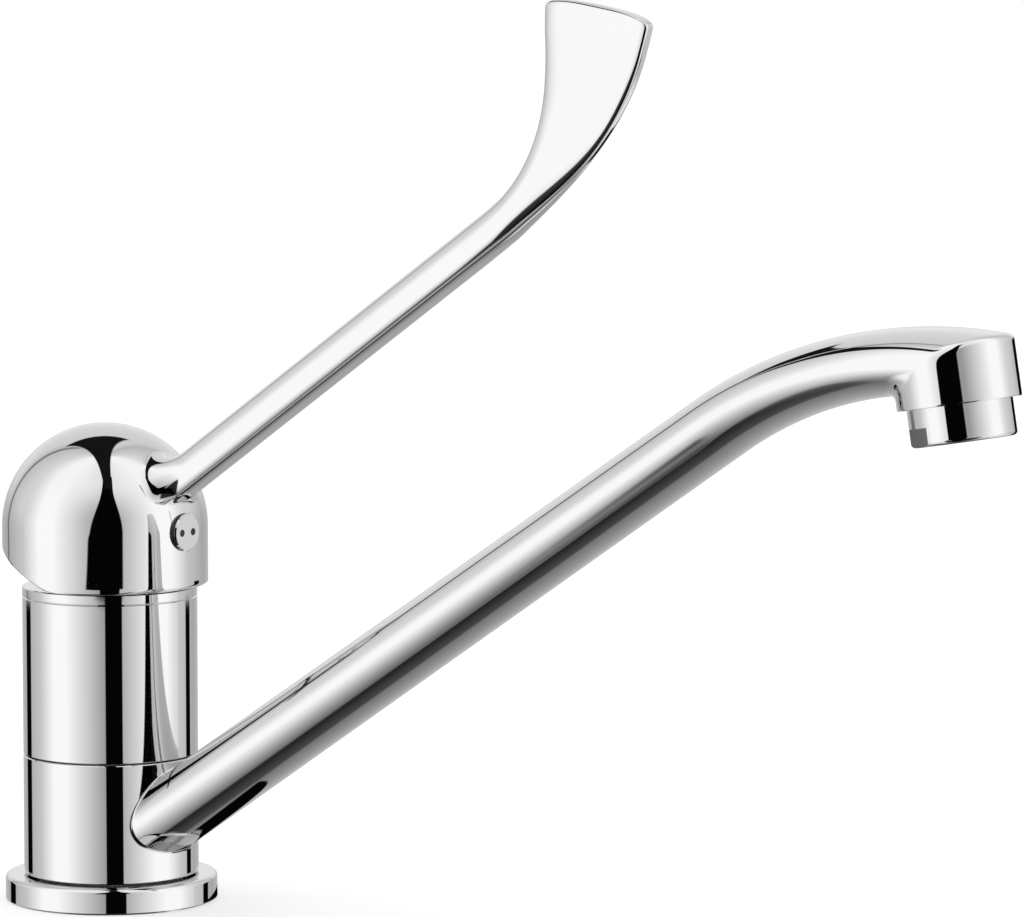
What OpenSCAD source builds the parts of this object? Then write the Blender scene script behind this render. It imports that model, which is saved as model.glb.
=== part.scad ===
// Single-lever sink tap with a long elbow lever and a swivelling cast spout.
// Frame: origin on the deck at the tap's axis, +Z up, +X forward along spout and lever.
// The tap is drawn closed, with the spout and the lever straight ahead.

/* [Base] */
// Diameter of the flange that stands on the deck
base_d = 58.2; // [54:0.2:66]
// Height of the flange
base_h = 7.1; // [6:0.1:10]
// Radius of the flange's upper outer edge
base_edge_r = 1.3; // [0.5:0.1:2.5]
// Chamfer at the flange's foot
base_foot_c = 0.5; // [0.2:0.1:1]
// Outer diameter of the deck gasket
gasket_d = 52; // [46:0.5:53]
// Radial width of the deck gasket
gasket_w = 4; // [3:0.5:5]
// Height of the deck gasket
gasket_h = 2; // [1:0.1:3]

/* [Body] */
// Outer diameter of the body, the spout's collar and the cover ring
body_d = 48; // [47:0.1:50]
// Height of the spout's collar
collar_h = 32.7; // [32:0.1:40]
// Height of the fixed body above the collar
drum_h = 43.4; // [42:0.1:50]
// Open gap above and below the turning collar
swivel_gap = 0.4; // [0.3:0.05:0.8]
// Chamfer that draws each joint line between the stacked rings
joint_c = 0.25; // [0.1:0.05:0.5]
// Height of the cover ring's visible band
cover_band_h = 2.8; // [2:0.1:4]
// Rise of the cover ring's hidden crown above its band
crown_h = 4.2; // [3:0.1:4.5]
// Wall of the cover ring's crown
crown_wall = 1.6; // [1:0.1:2.2]
// Diameter of the hole in the crown that the stem swings in
crown_hole_d = 24; // [22:0.5:26]
// Depth of the cover ring's spigot inside the body
cover_spigot_h = 1.8; // [1:0.1:2]
// Wall of the cover ring's spigot
cover_spigot_wall = 2; // [1.2:0.1:3]

/* [Swivel] */
// Diameter of the core that the collar turns on
core_d = 33; // [32.4:0.1:34]
// Radial running clearance between core and collar
core_fit = 0.08; // [0.03:0.01:0.1]
// Height of the water groove around the core
water_groove_h = 10; // [8:0.5:12]
// Depth of the water groove around the core
water_groove_t = 2; // [1:0.1:2.2]
// Section diameter of the swivel seals
seal_d = 2; // [1.6:0.1:2.2]
// Gap between a swivel seal and the collar's bore
seal_gap = 0.33; // [0.2:0.01:0.5]
// Distance of each swivel seal from the water groove's edge
seal_offset = 4; // [3:0.1:5]
// Outer diameter of the glide rings
glide_d = 42; // [39:0.5:43]
// Thickness of the glide rings
glide_t = 1.6; // [1.2:0.1:2.4]
// Sliding gap at the glide rings
glide_gap = 0.05; // [0.02:0.01:0.1]

/* [Inlets] */
// Thread core of the two hose ports
hose_d = 9; // [8.5:0.1:9.5]
// Depth of the hose threads
hose_depth = 12; // [10:0.5:14]
// Diameter of the hot and cold waterways
inlet_d = 7.2; // [6:0.1:7.4]
// Distance of the inlets behind the axis
inlet_back = 4.5; // [4:0.1:5]
// Distance of each inlet from the middle
inlet_side = 7.6; // [7.2:0.1:8]
// Diameter of the mixed waterway
outlet_d = 8; // [7:0.1:8.4]
// Distance of the mixed waterway and of the stud in front of the axis
outlet_front = 8; // [7.8:0.1:8.4]
// Thread core of the fixing stud's hole
stud_d = 6.8; // [6.6:0.1:7]
// Depth of the fixing stud's hole
stud_depth = 15; // [12:0.5:16]

/* [Cartridge] */
// Diameter of the cartridge
cart_d = 40; // [39.6:0.1:40]
// Clearance round the cartridge in its chamber
cart_fit = 0.2; // [0.1:0.05:0.25]
// Thickness of the chamber's floor
floor_t = 6.4; // [6:0.1:8]
// Thickness of the cartridge's base plate
cart_base_t = 5; // [4.5:0.1:6]
// Height of the base plate's spigot in the housing
cart_spigot_h = 2; // [1.5:0.1:2.5]
// Wall of the cartridge housing
cart_wall = 2.2; // [1.8:0.1:2.4]
// Section of the port seals under the cartridge
port_seal_w = 1.2; // [1:0.1:1.3]
// Height of the port seals
port_seal_h = 2; // [1.5:0.1:2.5]
// Diameter of the two locating pins
locator_d = 3; // [2.5:0.1:3.4]
// Length of the two locating pins
locator_h = 2.5; // [2:0.1:3]
// Thickness of each ceramic disc
disc_t = 4; // [3.5:0.1:4.5]
// Diameter of the moving disc and its carrier
slider_d = 26.4; // [26:0.1:28]
// Film gap between the two discs
film_gap = 0.02; // [0.01:0.01:0.05]
// Height of the carrier on the moving disc
carrier_t = 7; // [6.8:0.1:8]
// Diameter of the turntable's neck
turn_d = 25; // [24.6:0.1:25.6]
// Radial running clearance of the turntable
turn_fit = 0.06; // [0.02:0.01:0.1]
// Diameter of the turntable's flange
turn_flange_d = 30; // [28:0.5:32]
// Thickness of the turntable's flange
turn_flange_t = 2.8; // [2.4:0.1:3.2]
// Gap above and below the turntable's flange
turn_gap = 0.3; // [0.2:0.05:0.5]
// Height of the housing's shoulder under the nut
shoulder_t = 5; // [4:0.1:5.5]
// Height of the housing's neck above the shoulder
neck_h = 6.6; // [5.5:0.1:7]
// Wall of the housing's neck
neck_wall = 2.6; // [2:0.1:2.8]
// Core diameter of the nut's thread in the body
nut_d = 43; // [42.4:0.1:44]
// Height of the cartridge nut
nut_h = 4.4; // [3.5:0.1:4.5]
// Clearance at the nut and the cover's spigot
nut_fit = 0.1; // [0.05:0.01:0.2]
// Width and depth of the nut's four spanner notches
nut_notch = 4; // [3:0.5:5]

/* [Stem] */
// Width of the square stem
stem_w = 8; // [7:0.1:8.4]
// Length of the stem above its pivot
stem_len = 36; // [32:0.5:38]
// Forward lean of the stem while the tap is closed
stem_lean = 12; // [10:0.5:14]
// Lift of the lever from closed to full flow, in degrees
lift_angle = 25; // [20:1:28]
// Distance of the stem's ball below the pivot
ball_arm = 9; // [8.6:0.1:9.4]
// Diameter of the stem's ball
ball_d = 5.6; // [5:0.1:6]
// Gap round the ball in the carrier
ball_fit = 0.1; // [0.05:0.01:0.15]
// Diameter of the pivot pin
pin_d = 4; // [3.5:0.1:4.4]
// Length of the pivot pin
pin_len = 22; // [20:0.5:23]
// Radial clearance of the stem on the pivot pin
pin_fit = 0.05; // [0.02:0.01:0.1]
// Side clearance of the stem in the turntable's slot
slot_fit = 0.3; // [0.15:0.05:0.5]

/* [Spout] */
// Height at which the arm's axis crosses the tap's axis
spout_z = 11.2; // [10.5:0.1:13]
// Rise of the straight arm, in degrees
spout_slope = 33; // [28:0.5:34]
// Distance along the arm from the tap's axis to the bend
spout_run = 241.4; // [190:0.2:260]
// Width of the oval arm at the collar
spout_root_w = 28.6; // [26:0.2:30]
// Height of the oval arm at the collar
spout_root_h = 19.6; // [18.6:0.1:21]
// Width of the oval arm at the bend
spout_end_w = 29.8; // [27:0.2:31]
// Height of the oval arm at the bend
spout_end_h = 17.2; // [16.6:0.1:19]
// Radius of the bend along its centre line
spout_bend_r = 124.3; // [110:0.1:150]
// Slope that is left at the outlet, in degrees
nose_slope = -0.8; // [-2:0.1:3]
// Height of the flattened nose
nose_h = 16.9; // [16:0.1:18]
// Squareness of the nose's upper side, as a superellipse power
nose_power = 3; // [2.5:0.5:6]
// Share of the bend after which the upper side starts to flatten
nose_flat_from = 0.42; // [0.2:0.01:0.6]
// Bore of the waterway in the arm
spout_bore_d = 13; // [11:0.5:14]
// Forward lean of the outlet from the vertical, in degrees
outlet_lean = 9.7; // [6:0.1:12]
// Diameter of the outlet boss
outlet_boss_d = 31.2; // [30:0.1:32]
// Drop of the outlet boss below the arm's centre line
outlet_drop = 10.4; // [9.6:0.1:12]

/* [Aerator] */
// Diameter of the aerator's visible housing
aerator_d = 26.5; // [25.6:0.1:27]
// Height of the aerator below the outlet boss
aerator_h = 9.5; // [8:0.1:11]
// Rounding of the aerator's lower edge
aerator_edge_r = 1.1; // [0.5:0.1:1.4]
// Thread diameter of the aerator in the outlet boss
aerator_thread_d = 24; // [23.6:0.1:24.4]
// Height of the threaded part
aerator_thread_h = 6.5; // [5:0.1:7]
// Clearance at the thread and round the insert
aerator_fit = 0.1; // [0.05:0.01:0.2]
// Bore that holds the flow insert
insert_d = 20; // [19:0.1:20.6]
// Recess of the insert above the aerator's lower face
insert_recess = 1.2; // [0.6:0.1:2]
// Diameter of each jet hole in the insert
jet_d = 1.8; // [1.4:0.1:2]
// Pitch of the jet rings
jet_pitch = 2.7; // [2.4:0.1:2.9]
// Number of jet rings round the central jet
jet_rings = 3; // [2:1:3]
// Depth of the jet holes
jet_depth = 4; // [2:0.5:6]
// Distance across the spanner flats
flat_af = 24.6; // [24:0.1:25]
// Height of the spanner flats
flat_h = 4.8; // [3:0.1:6]
// Bearing of the spanner flats round the outlet's axis, in degrees
flat_bearing = 58; // [0:1:180]
// Thickness of the aerator's sealing washer
washer_t = 1.8; // [1:0.1:2.4]
// Radial width of the sealing washer
washer_w = 3; // [2:0.1:3.5]

/* [Lever] */
// Diameter of the handle's dome
dome_d = 56.4; // [56:0.2:60]
// Offset of the dome behind the tap's axis
dome_back = 1.5; // [0.5:0.1:1.6]
// Straight height of the dome's skirt below the ball
skirt_h = 16; // [14:0.1:20]
// Wall of the dome
dome_wall = 2.6; // [2:0.1:2.7]
// Rounding of the skirt's lower edge
rim_r = 1.9; // [1:0.1:1.9]
// Gap between the skirt and the cover ring
rim_gap = 0.3; // [0.3:0.05:1]
// Rise of the relieved rim towards the back, in degrees
relief_angle = 23; // [20:1:26]
// Where the relieved rim starts in front of the axis
relief_start = 2; // [0:0.5:6]
// Height at which the lever arm's axis crosses the tap's axis
arm_z = 100.3; // [99:0.1:104]
// Rise of the lever arm, in degrees
arm_slope = 34.2; // [30:0.1:38]
// Distance along the lever from the tap's axis to its bend
arm_run = 159.2; // [120:0.2:200]
// Width of the lever arm
arm_w = 10.9; // [9:0.1:13]
// Height of the lever arm
arm_h = 10.4; // [9:0.1:13]
// Extra half width of the flare where the arm leaves the dome
arm_flare = 2.4; // [0.5:0.1:3]
// Length over which that flare dies out
arm_flare_len = 9; // [6:0.5:14]
// Radius of the lever's bend along its centre line
lever_bend_r = 74.1; // [55:0.1:90]
// Slope of the upright paddle, in degrees
paddle_slope = 81.2; // [70:0.1:90]
// Straight length of the paddle above the bend
paddle_run = 9; // [6:0.1:30]
// Width of the paddle
paddle_w = 33.4; // [24:0.2:40]
// Thickness of the paddle
paddle_t = 4.4; // [3.5:0.1:6]
// Depth of the rounded end of the paddle
paddle_cap = 3.4; // [3:0.1:9]
// Distance past the start of the bend where the arm begins to widen
blade_from = 5.6; // [0:0.1:20]
// Distance past the end of the bend where the paddle is fully wide
blade_over = 13; // [0:0.5:20]
// Share of the bend over which the arm thins to the paddle's thickness
blade_thin = 0.68; // [0.5:0.01:1]
// Squareness of the arm's rounded upper side, as a superellipse power
arm_top_power = 2.3; // [2:0.1:4]
// Squareness of the arm's flat underside
arm_low_power = 4; // [2:0.1:6]
// Squareness of the paddle's edges
paddle_power = 4.5; // [2.5:0.1:6]
// Share of the paddle's thickness that is left at its very end
paddle_tip = 0.4; // [0.2:0.05:0.8]

/* [Handle fixings] */
// Distance from the pivot to the mouth of the handle's socket
socket_start = 22; // [21:0.5:24]
// Clearance of the stem in the handle's socket
socket_fit = 0.05; // [0.02:0.01:0.15]
// Width of the socket's boss
socket_boss_w = 15; // [13:0.5:16]
// Thread diameter of the grub screw
grub_d = 6; // [5:0.5:6]
// Length of the grub screw
grub_len = 8; // [6:0.5:10]
// Length of the grub screw's cone point
grub_point = 2.5; // [2:0.1:3]
// Width of the grub screw's hexagon socket
grub_hex = 3; // [2.5:0.5:3]
// Clearance round the grub screw
grub_fit = 0.05; // [0.02:0.01:0.1]
// Diameter of the grub screw's boss
grub_boss_d = 12; // [11:0.5:13]
// Diameter of the indicator plug's head
plug_d = 10.4; // [9.6:0.1:11]
// Thickness of the plug's head
plug_t = 1.6; // [1.2:0.1:2]
// Depth of the flat seat for the plug in the dome
plug_seat = 0.6; // [0.5:0.05:0.8]
// Diameter of the plug's shank
plug_shank_d = 7.2; // [6.6:0.1:8]
// Length of the plug's shank
plug_shank_h = 4; // [3:0.1:5]
// Clearance round the plug
plug_fit = 0.1; // [0.05:0.01:0.2]
// Edge chamfer of the plug
plug_edge_c = 0.35; // [0.2:0.05:0.5]
// Diameter of the hot and cold dots
dot_d = 2; // [1.6:0.1:2.4]
// Distance of each dot from the plug's middle
dot_offset = 2.3; // [1.8:0.1:2.8]
// Depth of the dots
dot_t = 0.5; // [0.3:0.1:0.8]

/* [Hidden] */
$fn = 96;
ring_points = 44;
over = 1;
far = 200;
chrome = [0.86, 0.87, 0.88];
brass = [0.78, 0.65, 0.32];
steel = [0.62, 0.63, 0.65];
rubber = [0.12, 0.12, 0.13];
acetal = [0.92, 0.91, 0.87];
ceramic = [0.95, 0.94, 0.92];

// Heights of the stack, from the deck upwards
collar_z = base_h + swivel_gap;
drum_z = collar_z + collar_h + swivel_gap;
drum_top = drum_z + drum_h;
cover_top = drum_top + cover_band_h;
rim_z = cover_top + rim_gap;
dome_z = rim_z + skirt_h;
floor_z = drum_z + floor_t;
housing_z = floor_z + cart_base_t;
fixed_disc_z = housing_z + cart_spigot_h;
moving_disc_z = fixed_disc_z + disc_t + film_gap;
carrier_z = moving_disc_z + disc_t;
turn_z = carrier_z + carrier_t + turn_gap;
turn_neck_z = turn_z + turn_flange_t;
shelf_z = turn_neck_z + turn_gap;
shoulder_z = shelf_z + shoulder_t;
neck_top = shoulder_z + neck_h;
nut_top = shoulder_z + nut_h;

// Radii shared by mating pieces
body_r = body_d / 2;
core_r = core_d / 2;
collar_bore_r = core_r + core_fit;
cart_r = cart_d / 2;
housing_bore_r = cart_r - cart_wall;
turn_bore_r = turn_d / 2 + turn_fit;
neck_r = turn_bore_r + neck_wall;
thread_r = nut_d / 2;
glide_r = glide_d / 2;
dome_r = dome_d / 2;

// Swivel: the water groove lies in the middle of the collar, a seal on each side
groove_z = collar_z + (collar_h - water_groove_h) / 2;
seal_ring_r = collar_bore_r - seal_gap - seal_d / 2;
seal_zs = [groove_z - seal_offset, groove_z + water_groove_h + seal_offset];
seal_slot_h = seal_d * 1.3;

// Stem: the pivot stands one ball arm above the ball, which sits in the carrier
ball_r = ball_d / 2;
ball_z = carrier_z + carrier_t - ball_r - slot_fit;
pivot_z = ball_z + ball_arm * cos(stem_lean);
slider_x = -ball_arm * sin(stem_lean);
swing = max(stem_lean, lift_angle - stem_lean);
slot_len = stem_w / cos(swing) + 2 * ((neck_top - pivot_z) * tan(swing) + slot_fit);

// Inlets and outlet, seen from above
inlets = [[-inlet_back, -inlet_side], [-inlet_back, inlet_side]];
ports = concat(inlets, [[outlet_front, 0]]);
locators = [[-inlet_back, -2 * inlet_side], [-inlet_back, 2 * inlet_side]];

// Spout: straight arm, then one bend down to the nose
bend_start = [spout_run * cos(spout_slope), spout_z + spout_run * sin(spout_slope)];
bend_centre = bend_start + spout_bend_r * [sin(spout_slope), -cos(spout_slope)];
bend_len = spout_bend_r * (spout_slope - nose_slope) * PI / 180;
nose_point = bend_centre + spout_bend_r * [-sin(nose_slope), cos(nose_slope)];
outlet_point = nose_point + outlet_drop * [sin(outlet_lean), -cos(outlet_lean)];
boss_r = outlet_boss_d / 2;
nose_inset = 0.25;
collar_reach = body_r / cos(spout_slope);

// Lever: straight arm, one bend and an upright paddle
lever_bend_start = [arm_run * cos(arm_slope), arm_z + arm_run * sin(arm_slope)];
lever_bend_len = lever_bend_r * (paddle_slope - arm_slope) * PI / 180;
lever_len = arm_run + lever_bend_len + paddle_run;
dome_reach = dome_r - dome_back;
dome_front = dome_r - dome_back;
plug_x = dome_front - plug_seat;
plug_face = plug_x + plug_t;
stem_front = (dome_z - pivot_z) * tan(stem_lean) + (stem_w / 2 + socket_fit) / cos(stem_lean);

// Smooth step from 0 to 1 as x runs from a to b
function ease(x, a, b) =
    let (t = max(0, min(1, (x - a) / (b - a))))
    t * t * (3 - 2 * t);

// Mix of a and b by t
function mix(a, b, t) = a + (b - a) * t;

// Superellipse of points about an axis point [x, z] that climbs at angle a: half sizes u
// across and v up, with power p_up for the upper half and p_low for the lower half
function ring(at, a, u, v, p_up, p_low) = [
    for (i = [0 : ring_points - 1])
        let (
            t = 360 * i / ring_points,
            p = sin(t) >= 0 ? p_up : p_low,
            k = pow(pow(abs(cos(t)), p) + pow(abs(sin(t)), p), -1 / p),
            y = k * u * cos(t),
            w = k * v * sin(t)
        )
        [at[0] - w * sin(a), y, at[1] + w * cos(a)]
];

// Closed skin through a list of equal rings
module loft(rings) {
    n = len(rings[0]);
    last = len(rings) - 1;
    points = [for (r = rings) each r];
    sides = [
        for (i = [0 : last - 1], j = [0 : n - 1])
            let (k = (j + 1) % n, a = i * n, b = a + n)
            each [[a + j, b + j, b + k], [a + j, b + k, a + k]]
    ];
    first_cap = [for (j = [0 : n - 1]) j];
    last_cap = [for (j = [n - 1 : -1 : 0]) last * n + j];
    polyhedron(points, concat(sides, [first_cap, last_cap]));
}

// Tube with a flat end at z and height h
module tube(z, h, r_out, r_in) {
    translate([0, 0, z])
    rotate_extrude()
        translate([r_in, 0])
        square([r_out - r_in, h]);
}

// Plain hole or pin from z upwards, at a place in plan
module bar(at, z, h, d) {
    translate([at[0], at[1], z])
    cylinder(h = h, d = d);
}

// Ring section with chamfered outer corners
module chamfered(r, z, h, c) {
    polygon([[0, z], [r - c, z], [r, z + c], [r, z + h - c], [r - c, z + h], [0, z + h]]);
}

// Frame of the outlet: its z axis runs up the leaning outlet from the boss's lower face
module in_outlet() {
    translate([outlet_point[0], 0, outlet_point[1]])
    rotate([0, -outlet_lean, 0])
        children();
}

// Frame of the stem: its z axis runs up the leaning stem from the pivot
module in_stem() {
    translate([0, 0, pivot_z])
    rotate([0, stem_lean, 0])
        children();
}

// Frame of the handle's front: its z axis points forward from the tap's axis at plug height
module in_front() {
    translate([0, 0, dome_z])
    rotate([0, 90, 0])
        children();
}

// Turned flange that carries the tap on the deck, recessed below for the gasket
module base_flange() {
    r = base_d / 2;
    color(chrome)
    difference() {
        rotate_extrude()
        difference() {
            union() {
                polygon([[0, 0], [r - base_foot_c, 0], [r, base_foot_c],
                    [r, base_h - base_edge_r], [0, base_h - base_edge_r]]);
                square([r - base_edge_r, base_h]);
                translate([r - base_edge_r, base_h - base_edge_r])
                    circle(base_edge_r);
            }
            translate([0, -over])
                square([collar_bore_r, base_h + 2 * over]);
        }
        tube(-over, gasket_h + over, gasket_d / 2, gasket_d / 2 - gasket_w);
        tube(base_h - glide_t / 2, glide_t, glide_r, 0);
    }
}

// Flat rubber ring in the flange's recess
module base_gasket() {
    color(rubber)
    tube(0, gasket_h, gasket_d / 2, gasket_d / 2 - gasket_w);
}

// Cast brass body: core for the collar, waterways and the cartridge's chamber
module mixer_body() {
    color(chrome)
    difference() {
        rotate_extrude()
        difference() {
            union() {
                square([core_r, drum_z + over]);
                chamfered(body_r, drum_z, drum_h, joint_c);
            }
            for (z = seal_zs)
                translate([seal_ring_r - seal_d / 2, z - seal_slot_h / 2])
                    square([core_r, seal_slot_h]);
            translate([core_r - water_groove_t, groove_z])
                square([core_r, water_groove_h]);
            translate([0, floor_z])
                square([cart_r + cart_fit, drum_h]);
            translate([0, shoulder_z - over])
                square([thread_r, drum_h]);
        }
        for (at = inlets) {
            bar(at, -over, hose_depth + over, hose_d);
            bar(at, 0, floor_z + over, inlet_d);
        }
        bar([outlet_front, 0], -over, stud_depth + over, stud_d);
        bar([outlet_front, 0], groove_z + water_groove_h / 2, floor_z, outlet_d);
        translate([outlet_front, 0, groove_z + water_groove_h / 2])
        rotate([0, 90, 0])
            cylinder(h = core_r, d = outlet_d);
        for (at = locators)
            bar(at, floor_z - locator_h - nut_fit, floor_z, locator_d + 2 * nut_fit);
    }
}

// Two rubber rings that seal the collar above and below the water groove
module swivel_seals() {
    color(rubber)
    for (z = seal_zs)
        translate([0, 0, z])
        rotate_extrude()
            translate([seal_ring_r, 0])
            circle(d = seal_d);
}

// Acetal ring that the collar turns on, let into the flange
module lower_glide_ring() {
    color(acetal)
    tube(base_h - glide_t / 2, glide_t, glide_r - nut_fit, collar_bore_r + nut_fit);
}

// Acetal ring between the collar and the fixed body
module upper_glide_ring() {
    color(acetal)
    tube(drum_z - glide_t, glide_t, glide_r - nut_fit, collar_bore_r + nut_fit);
}

// Axis point and slope of the spout at a distance s along it
function spout_at(s) =
    s <= spout_run
        ? [s * cos(spout_slope), spout_z + s * sin(spout_slope), spout_slope]
        : let (a = spout_slope - (s - spout_run) / spout_bend_r * 180 / PI)
          [bend_centre[0] - spout_bend_r * sin(a), bend_centre[1] + spout_bend_r * cos(a), a];

// Ring of the spout at a distance s: oval arm, then a wide nose with a flatter top
function spout_ring(s) =
    let (
        p = spout_at(s),
        along = min(1, s / spout_run),
        widen = ease(s, spout_run, spout_run + bend_len),
        flatten = ease(s, spout_run + bend_len * nose_flat_from, spout_run + bend_len)
    )
    ring([p[0], p[1]], p[2],
        mix(mix(spout_root_w, spout_end_w, along) / 2, boss_r - nose_inset, widen),
        mix(mix(spout_root_h, spout_end_h, along) / 2, nose_h / 2 - nose_inset, widen),
        mix(2, nose_power, flatten), 2);

// Cast spout in one piece: turning collar, rising arm, bend, nose and outlet boss
module swivel_spout() {
    arm_steps = [for (i = [0 : 8]) mix(collar_reach / 2, spout_run, i / 8)];
    bend_steps = [for (i = [1 : 22]) spout_run + bend_len * i / 22];
    color(chrome)
    difference() {
        union() {
            rotate_extrude()
                chamfered(body_r, collar_z, collar_h, joint_c);
            loft([for (s = concat(arm_steps, bend_steps)) spout_ring(s)]);
            intersection() {
                in_outlet()
                    cylinder(h = outlet_drop + nose_h, r = boss_r);
                translate([bend_centre[0], 0, bend_centre[1]])
                rotate([90, 0, 0])
                    cylinder(h = 2 * boss_r + 2 * over, r = spout_bend_r + nose_h / 2,
                        center = true, $fn = 720);
            }
        }
        translate([0, 0, collar_z - over])
            cylinder(h = collar_h + 2 * over, r = collar_bore_r);
        tube(collar_z - over, glide_t / 2 - swivel_gap + over + glide_gap, glide_r, 0);
        tube(drum_z - glide_t - glide_gap, glide_t + over, glide_r, 0);
        translate([0, 0, spout_z])
        rotate([0, 90 - spout_slope, 0])
            translate([0, 0, core_r / cos(spout_slope)])
            cylinder(h = spout_run - core_r / cos(spout_slope), d = spout_bore_d);
        spout_bend_bore();
        in_outlet() {
            translate([0, 0, -over])
                cylinder(h = aerator_thread_h + washer_t + over, d = aerator_thread_d);
            cylinder(h = outlet_drop, d = aerator_thread_d - 2 * washer_w);
        }
    }
}

// Waterway through the spout's bend
module spout_bend_bore() {
    translate([bend_centre[0], 0, bend_centre[1]])
    rotate([90, 0, 0])
    rotate([0, 0, 90 + nose_slope])
    rotate_extrude(angle = spout_slope - nose_slope)
        translate([spout_bend_r, 0])
        circle(d = spout_bore_d);
}

// Rubber washer that the aerator is screwed up against
module aerator_washer() {
    color(rubber)
    in_outlet()
        tube(aerator_thread_h, washer_t, aerator_thread_d / 2 - aerator_fit,
            aerator_thread_d / 2 - washer_w);
}

// Chromed housing with a thread above, a visible collar and two spanner flats below
module aerator_housing() {
    r = aerator_d / 2;
    e = aerator_edge_r;
    color(chrome)
    in_outlet()
    difference() {
        rotate_extrude()
        difference() {
            union() {
                translate([0, e - aerator_h])
                    square([r, aerator_h - e]);
                translate([0, -aerator_h])
                    square([r - e, aerator_h]);
                translate([r - e, e - aerator_h])
                    circle(e);
                square([aerator_thread_d / 2 - aerator_fit, aerator_thread_h]);
            }
            translate([0, -aerator_h - over])
                square([insert_d / 2, aerator_h + aerator_thread_h + 2 * over]);
        }
        rotate([0, 0, flat_bearing])
        for (side = [0, 180])
            rotate([0, 0, side])
            translate([flat_af / 2, -far / 2, -aerator_h - over])
                cube([far, far, flat_h + over]);
    }
}

// Plastic flow insert with rings of jets in its lower face
module aerator_insert() {
    low = insert_recess - aerator_h;
    color(acetal)
    in_outlet()
    difference() {
        translate([0, 0, low])
            cylinder(h = aerator_thread_h - low, d = insert_d - 2 * aerator_fit);
        translate([0, 0, low + jet_depth])
            cylinder(h = far, d = insert_d - 2 * washer_w);
        bar([0, 0], low - over, far, jet_d);
        for (k = [1 : jet_rings], i = [0 : 6 * k - 1])
            rotate([0, 0, i * 60 / k])
            bar([k * jet_pitch, 0], low - over, jet_depth + 2 * over, jet_d);
    }
}

// Three rubber rings in the underside of the cartridge's base
module port_seals() {
    color(rubber)
    for (at = ports)
        translate([at[0], at[1], 0])
        tube(floor_z, port_seal_h, outlet_d / 2 + port_seal_w, outlet_d / 2);
}

// Cartridge base plate: three ports, recesses for their seals and two locating pins
module cartridge_base() {
    color(acetal)
    difference() {
        union() {
            tube(floor_z, cart_base_t, cart_r, 0);
            tube(floor_z, cart_base_t + cart_spigot_h, housing_bore_r - nut_fit, 0);
            for (at = locators)
                bar(at, floor_z - locator_h, cart_base_t, locator_d);
        }
        for (at = ports) {
            bar(at, floor_z - over, far, inlet_d);
            bar(at, floor_z - over, port_seal_h + over, outlet_d + 2 * port_seal_w);
        }
    }
}

// Fixed ceramic disc with the three ports
module fixed_disc() {
    color(ceramic)
    difference() {
        tube(fixed_disc_z, disc_t, housing_bore_r - nut_fit, 0);
        for (at = ports)
            bar(at, fixed_disc_z - over, far, inlet_d);
    }
}

// Moving ceramic disc, hollowed below to join the inlets with the outlet
module moving_disc() {
    color(ceramic)
    translate([slider_x, 0, 0])
    difference() {
        tube(moving_disc_z, disc_t, slider_d / 2, 0);
        translate([0, 0, moving_disc_z - over])
            cylinder(h = disc_t / 2 + over, d = 2 * outlet_front);
    }
}

// Carrier on the moving disc, with the pocket for the stem's ball
module disc_carrier() {
    color(acetal)
    translate([slider_x, 0, 0])
    difference() {
        tube(carrier_z, carrier_t, slider_d / 2, 0);
        bar([0, 0], pivot_z - ball_arm - ball_r - ball_fit, far, ball_d + 2 * ball_fit);
    }
}

// Moulded cartridge housing: skirt over the discs, shoulder for the nut, neck for the turntable
module cartridge_housing() {
    color(acetal)
    rotate_extrude()
        polygon([[housing_bore_r, housing_z], [cart_r, housing_z], [cart_r, shoulder_z],
            [neck_r, shoulder_z], [neck_r, neck_top], [turn_bore_r, neck_top],
            [turn_bore_r, shelf_z], [housing_bore_r, shelf_z]]);
}

// Turntable that carries the pivot pin and turns with the lever
module turntable() {
    color(acetal)
    difference() {
        union() {
            tube(turn_z, turn_flange_t, turn_flange_d / 2, 0);
            tube(turn_z, neck_top - turn_z, turn_d / 2, 0);
        }
        translate([-slot_len / 2, -stem_w / 2 - slot_fit, turn_z - over])
            cube([slot_len, stem_w + 2 * slot_fit, far]);
        translate([0, 0, pivot_z])
        rotate([90, 0, 0])
            cylinder(h = far, d = pin_d, center = true);
    }
}

// Steel pin that the stem rocks on
module stem_pin() {
    color(steel)
    translate([0, 0, pivot_z])
    rotate([90, 0, 0])
        cylinder(h = pin_len, d = pin_d, center = true);
}

// Steel stem: square above for the handle, an eye on the pin and a ball below
module stem() {
    eye_r = stem_w / 2;
    neck_d = ball_d * 0.65;
    color(steel)
    in_stem()
    difference() {
        union() {
            translate([-stem_w / 2, -stem_w / 2, 0])
                cube([stem_w, stem_w, stem_len]);
            rotate([90, 0, 0])
                cylinder(h = stem_w, r = eye_r, center = true);
            translate([0, 0, -ball_arm])
                cylinder(h = ball_arm, d = neck_d);
            translate([0, 0, -ball_arm])
                sphere(ball_r);
        }
        rotate([90, 0, 0])
            cylinder(h = far, d = pin_d + 2 * pin_fit, center = true);
    }
}

// Brass nut that clamps the cartridge, with four spanner notches
module cartridge_nut() {
    color(brass)
    difference() {
        tube(shoulder_z, nut_h, thread_r - nut_fit, neck_r + nut_fit);
        for (a = [0, 90])
            rotate([0, 0, a])
            translate([-far / 2, -nut_notch / 2, nut_top - nut_notch / 2])
                cube([far, nut_notch, far]);
    }
}

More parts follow.
